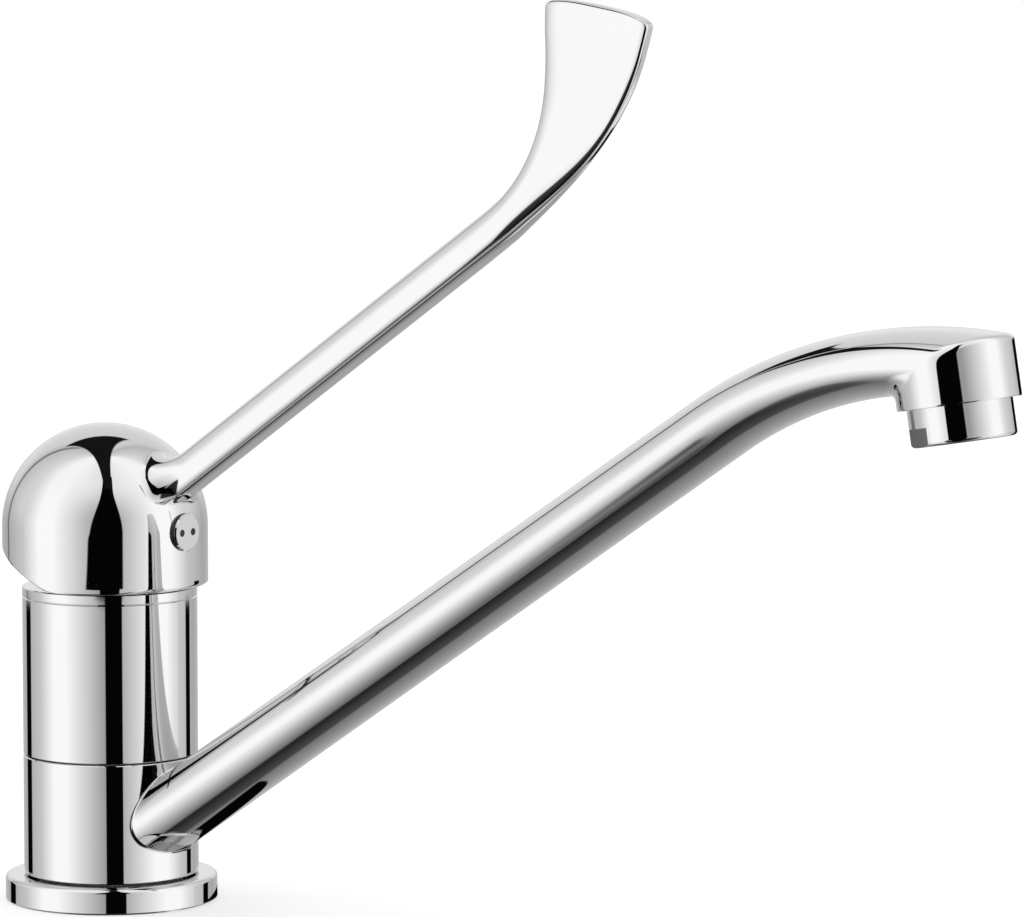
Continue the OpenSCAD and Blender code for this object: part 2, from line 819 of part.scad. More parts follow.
// Chromed cover ring: visible band, spigot in the body and a crown that hides the cartridge
module cover_ring() {
    spigot_r = thread_r - nut_fit;
    hole_r = crown_hole_d / 2;
    crown_top = cover_top + crown_h;
    color(chrome)
    rotate_extrude()
        polygon([[spigot_r, drum_top - cover_spigot_h], [spigot_r, drum_top],
            [body_r - joint_c, drum_top], [body_r, drum_top + joint_c],
            [body_r, cover_top - joint_c], [body_r - joint_c, cover_top],
            [spigot_r, cover_top], [hole_r, crown_top], [hole_r, crown_top - crown_wall],
            [spigot_r - cover_spigot_wall, cover_top - crown_wall],
            [spigot_r - cover_spigot_wall, drum_top - cover_spigot_h]]);
}

// Axis point and slope of the lever at a distance s along it
function lever_at(s) =
    s <= arm_run
        ? [s * cos(arm_slope), arm_z + s * sin(arm_slope), arm_slope]
        : let (
            a = min(paddle_slope, arm_slope + (s - arm_run) / lever_bend_r * 180 / PI),
            rest = max(0, s - arm_run - lever_bend_len),
            c = lever_bend_start + lever_bend_r * [-sin(arm_slope), cos(arm_slope)]
          )
          [c[0] + lever_bend_r * sin(a) + rest * cos(a),
           c[1] - lever_bend_r * cos(a) + rest * sin(a), a];

// Ring of the lever at a distance s: round-topped arm with a flat underside that thins and
// widens into an upright blade with a rounded end
function lever_ring(s) =
    let (
        p = lever_at(s),
        w = s - arm_run,
        left = lever_len - s,
        flare = arm_flare * pow(max(0, min(1, 1 - (s - dome_reach) / arm_flare_len)), 2),
        blade = ease(w, blade_from, lever_bend_len + blade_over),
        thin = ease(w, 0, lever_bend_len * blade_thin),
        end = pow(1 - pow(1 - min(1, left / paddle_cap), 2.5), 0.4),
        tip = pow(1 - pow(1 - min(1, left / paddle_t * 2), 2), 0.5)
    )
    ring([p[0], p[1]], p[2],
        (mix(arm_w, paddle_t, thin) / 2 + flare) * mix(paddle_tip, 1, tip),
        (mix(arm_h, paddle_w, blade) / 2 + flare) * end,
        mix(arm_top_power, paddle_power, blade), mix(arm_low_power, paddle_power, blade));

// Outer form of the dome: ball above, straight skirt below, rim relieved towards the back
module dome_form() {
    difference() {
        translate([-dome_back, 0, dome_z])
        rotate_extrude()
        union() {
            intersection() {
                circle(dome_r);
                square(dome_r);
            }
            translate([0, rim_r - skirt_h])
                square([dome_r, skirt_h - rim_r]);
            translate([0, -skirt_h])
                square([dome_r - rim_r, skirt_h]);
            translate([dome_r - rim_r, rim_r - skirt_h])
                circle(rim_r);
        }
        translate([relief_start, 0, rim_z])
        rotate([0, relief_angle, 0])
        translate([-far, -far / 2, -far])
            cube([far, far, far]);
    }
}

// Hollow inside the dome, open below
module dome_hollow() {
    translate([-dome_back, 0, dome_z])
    rotate_extrude()
    union() {
        intersection() {
            circle(dome_r - dome_wall);
            square(dome_r);
        }
        translate([0, -skirt_h - over])
            square([dome_r - dome_wall, skirt_h + over]);
    }
}

// Cast lever handle: hollow dome, socket for the stem, arm and upright elbow paddle
module lever_handle() {
    arm_steps = [for (i = [0 : 5]) dome_reach * 0.8 + i * arm_flare_len / 3.5];
    run_steps = [for (i = [1 : 6]) mix(dome_reach + arm_flare_len, arm_run, i / 6)];
    blade_len = lever_bend_len + paddle_run - paddle_cap;
    blade_steps = [for (i = [1 : 18]) arm_run + blade_len * i / 18];
    end_steps = [for (i = [1 : 8]) lever_len - paddle_cap * pow(1 - i / 8, 2) - 0.02];
    color(chrome)
    difference() {
        union() {
            difference() {
                union() {
                    dome_form();
                    loft([for (s = concat(arm_steps, run_steps, blade_steps, end_steps))
                        lever_ring(s)]);
                }
                dome_hollow();
            }
            in_front()
                cylinder(h = dome_front - dome_wall / 2, d = grub_boss_d);
            intersection() {
                translate([-dome_back, 0, dome_z])
                    sphere(dome_r - dome_wall / 2);
                in_stem()
                    translate([0, 0, socket_start])
                    cylinder(h = far, d = socket_boss_w);
            }
        }
        in_stem()
            translate([-stem_w / 2 - socket_fit, -stem_w / 2 - socket_fit, 0])
            cube([stem_w + 2 * socket_fit, stem_w + 2 * socket_fit, stem_len + socket_fit]);
        in_front() {
            cylinder(h = far, d = grub_d + 2 * grub_fit);
            translate([0, 0, plug_x - plug_shank_h - plug_fit])
                cylinder(h = far, d = plug_shank_d + 2 * plug_fit);
            translate([0, 0, plug_x])
                cylinder(h = far, d = plug_d + 2 * plug_fit);
        }
    }
}

// Grub screw whose cone point clamps the handle to the stem
module grub_screw() {
    color(steel)
    in_front()
    translate([0, 0, stem_front])
    difference() {
        union() {
            cylinder(h = grub_point, d1 = 0, d2 = grub_d);
            translate([0, 0, grub_point])
                cylinder(h = grub_len - grub_point, d = grub_d);
        }
        translate([0, 0, grub_len / 2])
            cylinder(h = grub_len, d = grub_hex / cos(30), $fn = 6);
    }
}

// Round plug over the grub screw, with two small pockets for the dots
module indicator_plug() {
    color(chrome)
    in_front()
    difference() {
        union() {
            translate([0, 0, plug_x - plug_shank_h])
                cylinder(h = plug_shank_h, d = plug_shank_d);
            translate([0, 0, plug_x])
            rotate_extrude()
                polygon([[0, 0], [plug_d / 2, 0], [plug_d / 2, plug_t - plug_edge_c],
                    [plug_d / 2 - plug_edge_c, plug_t], [0, plug_t]]);
        }
        for (side = [-1, 1])
            bar([0, side * dot_offset], plug_face - dot_t, far, dot_d);
    }
}

// Filled dot in the plug's face, hot on the user's left and cold on the right
module dot(side) {
    in_front()
    bar([0, side * dot_offset], plug_face - dot_t, dot_t, dot_d);
}

module hot_dot() {
    color("crimson")
    dot(-1);
}

module cold_dot() {
    color("midnightblue")
    dot(1);
}

base_flange();
base_gasket();
mixer_body();
swivel_seals();
lower_glide_ring();
upper_glide_ring();
swivel_spout();
aerator_washer();
aerator_housing();
aerator_insert();
port_seals();
cartridge_base();
fixed_disc();
moving_disc();
disc_carrier();
cartridge_housing();
turntable();
stem_pin();
stem();
cartridge_nut();
cover_ring();
lever_handle();
grub_screw();
indicator_plug();
hot_dot();
cold_dot();
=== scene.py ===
import math

import bpy
import numpy as np
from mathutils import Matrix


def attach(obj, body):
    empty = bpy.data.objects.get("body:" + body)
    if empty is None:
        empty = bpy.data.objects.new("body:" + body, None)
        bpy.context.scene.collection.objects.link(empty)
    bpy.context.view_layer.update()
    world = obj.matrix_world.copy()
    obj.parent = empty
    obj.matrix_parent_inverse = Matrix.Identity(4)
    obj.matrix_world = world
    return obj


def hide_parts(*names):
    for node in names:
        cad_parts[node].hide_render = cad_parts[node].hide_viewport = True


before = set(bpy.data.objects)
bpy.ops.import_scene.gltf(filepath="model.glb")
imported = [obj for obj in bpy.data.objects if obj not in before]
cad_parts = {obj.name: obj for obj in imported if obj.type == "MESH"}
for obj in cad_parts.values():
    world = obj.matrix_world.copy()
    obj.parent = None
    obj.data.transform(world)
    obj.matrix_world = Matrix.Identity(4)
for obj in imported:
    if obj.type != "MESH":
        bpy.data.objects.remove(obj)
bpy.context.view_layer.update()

# Base flange
# Turned brass ring that stands on the deck and carries the tap, nickelled and then chromed.
# It is spun while it is polished, so its faint polishing lines run round it.


class Wire:
    """A shader socket. +, - and * between wires and numbers add Math nodes to its tree, and
    node() adds any other node: its settings are set first, then its inputs."""

    def __init__(self, tree, socket=None):
        self.tree, self.socket = tree, socket

    def put(self, entry, value):
        """Links a wire to a node's entry, or sets the entry to a plain value."""
        if isinstance(value, Wire):
            self.tree.links.new(value.socket, entry)
        else:
            entry.default_value = value

    def node(self, kind, settings, inputs, out=0):
        """A new node; the wire that comes back is its output named or numbered out."""
        made = self.tree.nodes.new("ShaderNode" + kind)
        for key, value in settings.items():
            if key == "stops":
                ramp = made.color_ramp
                for place, _ in value[1:-1]:
                    ramp.elements.new(place)
                for stop, (place, shade) in zip(ramp.elements, value):
                    stop.position, stop.color = place, (*shade, 1)
            else:
                setattr(made, key, value)
        for key, value in inputs.items():
            self.put(made.inputs[key], value)
        return Wire(self.tree, made.outputs[out])

    def maths(self, kind, *terms):
        """A Math node of that kind on the terms."""
        return self.node("Math", {"operation": kind}, dict(enumerate(terms)))

    def __add__(self, other):
        return self.maths("ADD", self, other)

    def __sub__(self, other):
        return self.maths("SUBTRACT", self, other)

    def __rsub__(self, other):
        return self.maths("SUBTRACT", other, self)

    def __mul__(self, other):
        return self.maths("MULTIPLY", self, other)

    __radd__ = __add__
    __rmul__ = __mul__

    def between(self, low, high):
        """0 below low, 1 above high, and a smooth step between."""
        return self.node("MapRange", {"interpolation_type": "SMOOTHSTEP"},
                         {"Value": self, "From Min": low, "From Max": high})

    def tint(self, first, second):
        """The colour first where this wire is 0 and second where it is 1."""
        return self.node("Mix", {"data_type": "RGBA"},
                         {0: self, 6: (*first, 1), 7: (*second, 1)}, out=2)


def surface(name, recipe, **fixed):
    """A material with one Principled shader. recipe(place) is given the Object coordinates
    and returns the wires of the sockets that vary; fixed sets the others."""
    made = bpy.data.materials.new(name)
    made.use_nodes = True
    tree = made.node_tree
    shader = tree.nodes["Principled BSDF"]
    start = Wire(tree)
    place = start.node("TexCoord", {}, {}, out="Object")
    for key, value in fixed.items():
        shader.inputs[key.replace("_", " ")].default_value = value
    for key, wire in recipe(place).items():
        start.put(shader.inputs[key], wire)
    return made


def noise(place, scale, detail=2.0, rough=0.5):
    """Soft noise between 0 and 1 with about scale lumps to the metre."""
    return place.node("TexNoise", {}, {"Vector": place, "Scale": scale, "Detail": detail,
                                       "Roughness": rough})


def dress(material, *nodes):
    """Puts a material on CAD nodes."""
    for name in nodes:
        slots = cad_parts[name].data.materials
        slots.clear()
        slots.append(material)


CHROME_PALE, CHROME_DEEP = (0.590, 0.592, 0.595), (0.560, 0.563, 0.568)
POLISH = 0.014                     # roughness where the polish is best
TURNING_LINES = (60, 60, 9000)     # lumps to the metre: close together up the axis


def turned_chrome(place):
    """Chrome over a turned face: colour and gloss drift over a few centimetres, and very
    fine lines run round the axis."""
    cloud = noise(place, 34.0)
    lines = noise(place.node("Mapping", {}, {"Vector": place, "Scale": TURNING_LINES}), 1.0)
    bump = place.node("Bump", {}, {"Height": lines, "Strength": 0.004, "Distance": 0.0002})
    return {"Base Color": cloud.tint(CHROME_PALE, CHROME_DEEP),
            "Roughness": POLISH + cloud * 0.014 + lines * 0.01, "Normal": bump}


chrome_turned = surface("chrome_turned", turned_chrome, Metallic=1.0)
dress(chrome_turned, "base_flange")

# Gasket and seals
# Moulded black rubber: the deck gasket, the two swivel seals, the three port seals and the
# aerator's washer. They sit in grooves, and only the gasket shows, from below.

RUBBER_BLACK, RUBBER_BLOOM = (0.012, 0.012, 0.013), (0.030, 0.030, 0.032)


def moulded_rubber(place):
    """Dull black with a fine matt grain and paler bloom in clouds."""
    grain, bloom = noise(place, 2600.0, 3.0), noise(place, 90.0)
    bump = place.node("Bump", {}, {"Height": grain, "Strength": 0.25, "Distance": 0.0002})
    return {"Base Color": bloom.between(0.35, 0.8).tint(RUBBER_BLACK, RUBBER_BLOOM),
            "Roughness": 0.55 + grain * 0.25, "Normal": bump}


dress(surface("rubber_black", moulded_rubber), "base_gasket", "swivel_seals", "port_seals",
      "aerator_washer")

# Body and cover ring
# The body is cast brass, turned and chromed. The cover ring is turned from brass and pressed
# into the body's mouth, and a fine line shows where the two meet.

dress(chrome_turned, "mixer_body", "cover_ring")

# Glide rings, cartridge mouldings and flow insert
# Injection-moulded acetal, off-white and slightly waxy. All of it is hidden but the flow
# insert, whose jets show from below the outlet.

ACETAL_PALE, ACETAL_DEEP = (0.82, 0.81, 0.77), (0.72, 0.71, 0.67)


def moulded_acetal(place):
    """Off-white with faint flow clouds and a soft sheen."""
    cloud, grain = noise(place, 120.0), noise(place, 1800.0)
    bump = place.node("Bump", {}, {"Height": grain, "Strength": 0.1, "Distance": 0.0001})
    return {"Base Color": cloud.tint(ACETAL_PALE, ACETAL_DEEP),
            "Roughness": 0.32 + grain * 0.14, "Normal": bump}


dress(surface("acetal_white", moulded_acetal), "lower_glide_ring", "upper_glide_ring",
      "cartridge_base", "disc_carrier", "cartridge_housing", "turntable", "aerator_insert")

# Ceramic discs
# Sintered alumina, ground and lapped flat so that the two discs seal against each other. The
# lower one is held in the cartridge's base, and the upper one slides on it.

CERAMIC_WHITE, CERAMIC_SPECK = (0.84, 0.83, 0.80), (0.62, 0.61, 0.59)


def lapped_ceramic(place):
    """Almost white with grey specks and a fine lapped gloss."""
    speck = noise(place, 3200.0).between(0.60, 0.72)
    return {"Base Color": speck.tint(CERAMIC_WHITE, CERAMIC_SPECK),
            "Roughness": 0.18 + speck * 0.22}


dress(surface("ceramic_white", lapped_ceramic), "fixed_disc", "moving_disc")

# Stem, pin, grub screw and cartridge nut
# The stem, its pin and the grub screw are plain steel, drawn and cut. The nut is turned from
# brass bar. None of them shows once the handle is on.

STEEL_DARK, STEEL_PALE = (0.50, 0.50, 0.51), (0.62, 0.62, 0.63)
BRASS_BRIGHT, BRASS_TARNISH = (0.78, 0.62, 0.30), (0.50, 0.36, 0.17)
DRAWING_LINES = (2400, 2400, 60)


def drawn_steel(place):
    """Grey steel with drawing lines along the stem."""
    lines = noise(place.node("Mapping", {}, {"Vector": place, "Scale": DRAWING_LINES}), 1.0)
    return {"Base Color": lines.tint(STEEL_DARK, STEEL_PALE),
            "Roughness": 0.24 + lines * 0.2}


def turned_brass(place):
    """Yellow brass with brown tarnish in clouds."""
    tarnish = noise(place, 160.0, 4.0).between(0.45, 0.8)
    return {"Base Color": tarnish.tint(BRASS_BRIGHT, BRASS_TARNISH),
            "Roughness": 0.22 + tarnish * 0.25}


dress(surface("steel_drawn", drawn_steel, Metallic=1.0), "stem", "stem_pin", "grub_screw")
dress(surface("brass_turned", turned_brass, Metallic=1.0), "cartridge_nut")

# Swivel spout
# One brass casting, polished and chromed: a collar that turns on the body's core, an oval arm
# that climbs and bends over, and a wide nose whose flatter top runs out over the outlet boss.

BODY_R, COLLAR_LOW, COLLAR_HIGH, COLLAR_BORE = 24.0, 7.5, 40.2, 16.58
JOINT_C, GLIDE_R, GLIDE_LOW, GLIDE_HIGH = 0.25, 21.0, 7.95, 38.95
SPOUT_Z, SPOUT_SLOPE, SPOUT_RUN = 11.2, math.radians(33.0), 241.4
ROOT_W, ROOT_H, END_W, END_H = 28.6, 19.6, 29.8, 17.2
BEND_R, NOSE_SLOPE, NOSE_H = 124.3, math.radians(-0.8), 16.9
ROUND, NOSE_POWER, NOSE_FLAT = 2.0, 2.4, 0.42
OUTLET_LEAN, BOSS_R, OUTLET_DROP = math.radians(9.7), 15.6, 10.4
TURN, MM = 2 * math.pi, 0.001
WELD_GRID, SHARP_EDGE = 1e4, math.radians(38)


def ease(x, low, high):
    """Smooth step: 0 below low, 1 above high, with level ends."""
    t = np.clip((x - low) / (high - low), 0, 1)
    return t * t * (3 - 2 * t)


def mix(a, b, t):
    """a where t is 0, b where t is 1, and in a straight line between them."""
    return a + (b - a) * t


def skin(name, material, shells):
    """One object from closed shells. Each shell is a grid of points in millimetres, rows by
    columns; the last column joins the first. Equal points are welded, quads that fold to a
    line are dropped, and a shell whose volume comes out negative is turned round."""
    points, faces, count = [], [], 0
    for grid in shells:
        rows, cols = grid.shape[:2]
        flat = grid.reshape(-1, 3)
        _, first, back = np.unique(np.round(flat * WELD_GRID).astype(np.int64), axis=0,
                                   return_index=True, return_inverse=True)
        at = back.reshape(rows, cols)
        side = np.roll(at, -1, axis=1)
        quads = np.stack([at[:-1], side[:-1], side[1:], at[1:]], axis=-1).reshape(-1, 4)
        quads = quads[np.array([len(set(q)) for q in quads.tolist()]) > 2]
        own = flat[first]
        a, b, c, d = (own[quads[:, k]] for k in range(4))
        volume = (np.einsum("ij,ij->", a, np.cross(b, c))
                  + np.einsum("ij,ij->", a, np.cross(c, d)))
        if volume < 0:
            quads = quads[:, ::-1]
        points.append(own)
        faces += [[q[k] + count for k in range(4) if q[k] != q[k - 1]] for q in quads.tolist()]
        count += len(own)
    mesh = bpy.data.meshes.new(name)
    mesh.from_pydata((np.concatenate(points) * MM).tolist(), [], faces)
    mesh.shade_smooth()
    mesh.set_sharp_from_angle(angle=SHARP_EDGE)
    mesh.materials.append(material)
    made = bpy.data.objects.new(name, mesh)
    bpy.context.scene.collection.objects.link(made)
    return made


def turned(profile, columns=160):
    """Surface of revolution about the tap's axis: each (radius, height) of the profile is
    carried round a circle."""
    r, z = np.array(profile, float).T
    a = np.arange(columns) * TURN / columns
    return np.stack([r[:, None] * np.cos(a), r[:, None] * np.sin(a),
                     np.repeat(z[:, None], columns, 1)], axis=-1)


def oval(angle, u, v, upper, lower):
    """Distance from the centre to a superellipse with half sizes u across and v up, along a
    ray at that angle; its power is upper above the centre line and lower below it."""
    p = np.where(np.sin(angle) >= 0, upper, lower)
    return (np.abs(np.cos(angle) / u) ** p + np.abs(np.sin(angle) / v) ** p) ** (-1 / p)


def arm_point(s, t, angle, slope, start_z):
    """Point at s along a straight arm that climbs at slope from the tap's axis, and t out
    from the arm's own axis on a ray at that angle."""
    up = t * np.sin(angle)
    return np.stack([s * math.cos(slope) - up * math.sin(slope), t * np.cos(angle) + 0 * s,
                     start_z + s * math.sin(slope) + up * math.cos(slope)], axis=-1)


# How a fillet finds its corner: a first guess, then rounds that each go part of the way. STEP
# is what slopes are measured over, and BULGE is how hard the fillet's ends pull.
GUESS, ROUNDS, PART_WAY, STEP, BULGE = 8.0, 60, 0.7, 1e-3, 1.5


def root_fillet(ground, tube, foot_side, arm_side, rows=16):
    """Rows of (s, t) that lead from the ground the arm stands on to the arm itself. ground(t)
    gives s on the ground at t out from the axis, tube(s) gives the arm's t. Each line is a
    Hermite curve that leaves the ground foot_side away from the corner, along the ground,
    and joins the arm arm_side past the corner, along the arm."""
    t = tube(ground(np.full(foot_side.shape, GUESS)))
    for _ in range(ROUNDS):
        t = mix(t, tube(ground(t)), PART_WAY)
    s1, t0 = ground(t) + arm_side, t + foot_side
    s0, t1 = ground(t0), tube(s1)
    out_s, out_t = -(ground(t0 + STEP) - s0) / STEP * foot_side * BULGE, -foot_side * BULGE
    in_s, in_t = arm_side * BULGE, (tube(s1 + STEP) - t1) / STEP * arm_side * BULGE
    q = np.linspace(0, 1, rows)[:, None]
    h00, h10 = 2 * q ** 3 - 3 * q ** 2 + 1, q ** 3 - 2 * q ** 2 + q
    h01, h11 = 3 * q ** 2 - 2 * q ** 3, q ** 3 - q ** 2
    return (h00 * s0 + h10 * out_s + h01 * s1 + h11 * in_s,
            h00 * t0 + h10 * out_t + h01 * t1 + h11 * in_t)


collar = turned([
    (COLLAR_BORE, GLIDE_LOW), (GLIDE_R, GLIDE_LOW), (GLIDE_R, COLLAR_LOW),
    (BODY_R - JOINT_C, COLLAR_LOW), (BODY_R, COLLAR_LOW + JOINT_C),
    (BODY_R, COLLAR_HIGH - JOINT_C), (BODY_R - JOINT_C, COLLAR_HIGH), (GLIDE_R, COLLAR_HIGH),
    (GLIDE_R, GLIDE_HIGH), (COLLAR_BORE, GLIDE_HIGH), (COLLAR_BORE, GLIDE_LOW)])

SPOUT_COLUMNS = 224
ray = np.arange(SPOUT_COLUMNS) * TURN / SPOUT_COLUMNS


def spout_radius(s):
    """Distance from the arm's axis to its surface along each ray: an oval that grows wider
    and lower from the collar to the bend."""
    along = np.minimum(1, s / SPOUT_RUN)
    return oval(ray, mix(ROOT_W, END_W, along) / 2, mix(ROOT_H, END_H, along) / 2, ROUND, ROUND)


def on_collar(t, radius=BODY_R):
    """Where a ray's point t out from the arm's axis lies on the collar's cylinder."""
    across, rise = t * np.cos(ray), t * np.sin(ray) * math.sin(SPOUT_SLOPE)
    return (np.sqrt(radius ** 2 - across ** 2) + rise) / math.cos(SPOUT_SLOPE)


# A small even fillet runs round the foot of the arm. Inside the collar's wall the arm is closed
# off, a little narrower than the fillet.
FOOT_SIDE, FOOT_ALONG, FOOT_ROWS, SUNK_R, SUNK_IN = 0.5, 1.1, 10, 22.0, 1.5
foot = np.full(ray.shape, FOOT_SIDE)
root_s, root_t = root_fillet(on_collar, spout_radius, foot, foot * FOOT_ALONG, FOOT_ROWS)
sunk_t = root_t[0] - SUNK_IN
sunk = arm_point(on_collar(sunk_t, SUNK_R), sunk_t, ray, SPOUT_SLOPE, SPOUT_Z)
hub = arm_point(SUNK_R / math.cos(SPOUT_SLOPE) + 0 * ray, 0 * ray, ray, SPOUT_SLOPE, SPOUT_Z)
root = arm_point(root_s, root_t, ray, SPOUT_SLOPE, SPOUT_Z)

arm_s = mix(root_s[-1], SPOUT_RUN, np.linspace(0, 1, 80)[1:, None])
arm = arm_point(arm_s, spout_radius(arm_s), ray, SPOUT_SLOPE, SPOUT_Z)

bend_x = SPOUT_RUN * math.cos(SPOUT_SLOPE) + BEND_R * math.sin(SPOUT_SLOPE)
bend_z = SPOUT_Z + SPOUT_RUN * math.sin(SPOUT_SLOPE) - BEND_R * math.cos(SPOUT_SLOPE)
bend_len = BEND_R * (SPOUT_SLOPE - NOSE_SLOPE)


def nose_form(s):
    """Half width, half height and upper power of the spout past the start of the bend: the
    arm grows to the boss's width while its top flattens."""
    widen = ease(s, 0, bend_len)
    return (mix(END_W / 2, BOSS_R, widen), mix(END_H / 2, NOSE_H / 2, widen),
            mix(ROUND, NOSE_POWER, ease(s, NOSE_FLAT * bend_len, bend_len)))


# The boss's frame: its axis leans forward going down. The fan of sections turns from across
# the arm to across the boss, about a line in the corner under the arm and behind the boss.
lean = np.array([math.cos(OUTLET_LEAN), math.sin(OUTLET_LEAN)])
rise = np.array([-lean[1], lean[0]])
nose_xz = np.array([bend_x - BEND_R * math.sin(NOSE_SLOPE),
                    bend_z + BEND_R * math.cos(NOSE_SLOPE)])
mouth = nose_xz - OUTLET_DROP * rise
FAN_BACK, FAN_UP, FAN_REACH, HALVINGS = 19.0, 0.9, 40.0, 44
EDGE_R, EDGE_OVER = 1.3, (0.5, 8.0)
CORNER_R, CORNER_DOWN, CORNER_BACK = 2.4, (0.5, 4.0), (1.0, 9.0)
corner = mouth - FAN_BACK * lean + FAN_UP * rise
fan_slope = math.atan2(bend_x - corner[0], corner[1] - bend_z)

bend_a = np.linspace(SPOUT_SLOPE, fan_slope, 56)[1:, None] + 0 * ray
bend_u, bend_v, bend_p = nose_form(BEND_R * (SPOUT_SLOPE - bend_a))
bend_t = oval(ray, bend_u, bend_v, bend_p, ROUND)
bend_w = BEND_R + bend_t * np.sin(ray)
bend = np.stack([bend_x - bend_w * np.sin(bend_a), bend_t * np.cos(ray),
                 bend_z + bend_w * np.cos(bend_a)], axis=-1)


def nose_field(p):
    """Less than 0 inside the nose and boss, more outside. The nose is the widened arm, cut
    off by the boss's front wall with a rounded edge; the boss is a cylinder below the arm's
    centre line; a small round fills the corner where it leaves the arm's underside."""
    x, y, z = p[..., 0], p[..., 1], p[..., 2]
    slope = np.arctan2(bend_x - x, z - bend_z)
    w = np.hypot(x - bend_x, z - bend_z) - BEND_R
    u, v, power = nose_form(BEND_R * (SPOUT_SLOPE - slope))
    far = np.hypot(y, w)
    tube = far - oval(np.arctan2(w, y), u, v, power, ROUND)
    ahead = (x - mouth[0]) * lean[0] + (z - mouth[1]) * lean[1]
    wall = np.where(ahead > 0, np.hypot(ahead, y), np.abs(y)) - BOSS_R
    e = EDGE_R * ease(ahead, *EDGE_OVER)
    nose = (np.minimum(-e, np.maximum(wall, tube))
            + np.hypot(np.maximum(e + wall, 0), np.maximum(e + tube, 0)))
    boss = np.maximum(np.hypot(ahead, y) - BOSS_R, w)
    k = CORNER_R * ease(-w, *CORNER_DOWN) * ease(-ahead, *CORNER_BACK)
    return (np.maximum(k, np.minimum(nose, boss))
            - np.hypot(np.maximum(k - nose, 0), np.maximum(k - boss, 0)))


turn_a = np.linspace(fan_slope + math.pi / 2, OUTLET_LEAN, 130)[1:, None]
fan_dir = np.concatenate([np.cos(turn_a), np.sin(turn_a)], axis=1)
fan_far = mix(BEND_R - math.hypot(corner[0] - bend_x, corner[1] - bend_z), FAN_BACK,
              ease(-turn_a, -fan_slope - math.pi / 2, -OUTLET_LEAN))


def fan_point(t):
    """Point t out from the middle of each section of the fan, along each ray."""
    out = fan_far + t * np.sin(ray)
    return np.stack([corner[0] + out * fan_dir[:, :1], t * np.cos(ray) + 0 * out,
                     corner[1] + out * fan_dir[:, 1:]], axis=-1)


# The surface is where the field is 0: each ray's span is halved until it is found.
low = np.zeros((len(turn_a), SPOUT_COLUMNS))
to_line = fan_far / np.maximum(1e-6, -np.sin(ray))
high = np.minimum(FAN_REACH, np.where(np.sin(ray) < 0, to_line, FAN_REACH))
for _ in range(HALVINGS):
    middle = (low + high) / 2
    inside = nose_field(fan_point(middle)) < 0
    low, high = np.where(inside, middle, low), np.where(inside, high, middle)
fan = fan_point(low)

# Below the fan the boss is plain turning: a small edge, the face, and the bores for thread
# and washer.
MOUTH_C, THREAD_R, SEAT_R, THREAD_DEEP, SEAT_DEEP = 0.3, 12.0, 9.0, 8.3, 10.4
mouth_r, mouth_h = np.array([
    (BOSS_R, 2 * MOUTH_C), (BOSS_R, MOUTH_C), (BOSS_R - 0.09, 0.09), (BOSS_R - MOUTH_C, 0.0),
    (THREAD_R + MOUTH_C, 0.0), (THREAD_R, MOUTH_C), (THREAD_R, THREAD_DEEP),
    (SEAT_R, THREAD_DEEP), (SEAT_R, SEAT_DEEP), (0.0, SEAT_DEEP)]).T
ahead = mouth_r[:, None] * np.sin(ray)
boss = np.stack([mouth[0] + ahead * lean[0] + mouth_h[:, None] * rise[0],
                 mouth_r[:, None] * np.cos(ray),
                 mouth[1] + ahead * lean[1] + mouth_h[:, None] * rise[1]], axis=-1)


def cast_chrome(place):
    """Chrome over a polished casting: colour and gloss drift slowly, and the surface keeps
    the faintest waviness from the polishing belt."""
    cloud, wave = noise(place, 26.0), noise(place, 60.0, 0.0)
    bump = place.node("Bump", {}, {"Height": wave, "Strength": 0.012, "Distance": 0.0004})
    return {"Base Color": cloud.tint(CHROME_PALE, CHROME_DEEP),
            "Roughness": POLISH + cloud * 0.016, "Normal": bump}


chrome_cast = surface("chrome_cast", cast_chrome, Metallic=1.0)
spout = skin("spout_casting", chrome_cast,
             [collar, np.concatenate([hub[None], sunk[None], root, arm, bend, fan, boss])])
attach(spout, "spout")
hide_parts("swivel_spout")

# Aerator
# Turned brass housing, chromed, that screws up into the boss. Two flats are milled on its
# lower edge for a spanner.

dress(chrome_turned, "aerator_housing")

# Lever handle
# One zinc casting, polished and chromed: a hollow dome over the cartridge, a long arm with a
# round top and a flat underside, and an upright blade that an elbow can push.

DOME_R, DOME_BACK, DOME_Z, DOME_WALL, LIP_C = 28.2, 1.5, 103.1, 2.6, 0.3
RIM_Z, RIM_R, SIDE_R, RELIEF_X, RELIEF = 87.1, 1.3, 0.5, 2.0, math.radians(23.0)
ARM_Z, ARM_SLOPE, ARM_RUN, ARM_W, ARM_H = 100.3, math.radians(34.2), 159.2, 10.9, 10.4
LEVER_BEND_R, PADDLE_SLOPE, PADDLE_RUN = 74.1, math.radians(81.2), 8.98
PADDLE_W, PADDLE_T, PADDLE_CAP, CAP_POWER, PADDLE_TIP = 33.4, 4.4, 3.4, 2.5, 0.4
BLADE_FROM, BLADE_OVER, BLADE_THIN, SOFT_FROM, SOFT_BY = 5.6, 13.0, 0.68, -14.0, 10.0
TOP_POWER, LOW_POWER, BEND_POWER, EDGE_POWER, BLADE_POWER = 2.3, 4.0, 3.0, 6.5, 4.5
lever_bend_len = LEVER_BEND_R * (PADDLE_SLOPE - ARM_SLOPE)
lever_len = ARM_RUN + lever_bend_len + PADDLE_RUN

DOME_COLUMNS = 224
dome_a = np.arange(DOME_COLUMNS) * TURN / DOME_COLUMNS


def dome_ring(r, z):
    """Rings about the dome's own axis, with a radius and a height for every point."""
    return np.stack([r * np.cos(dome_a) - DOME_BACK, r * np.sin(dome_a), z + 0 * r], axis=-1)


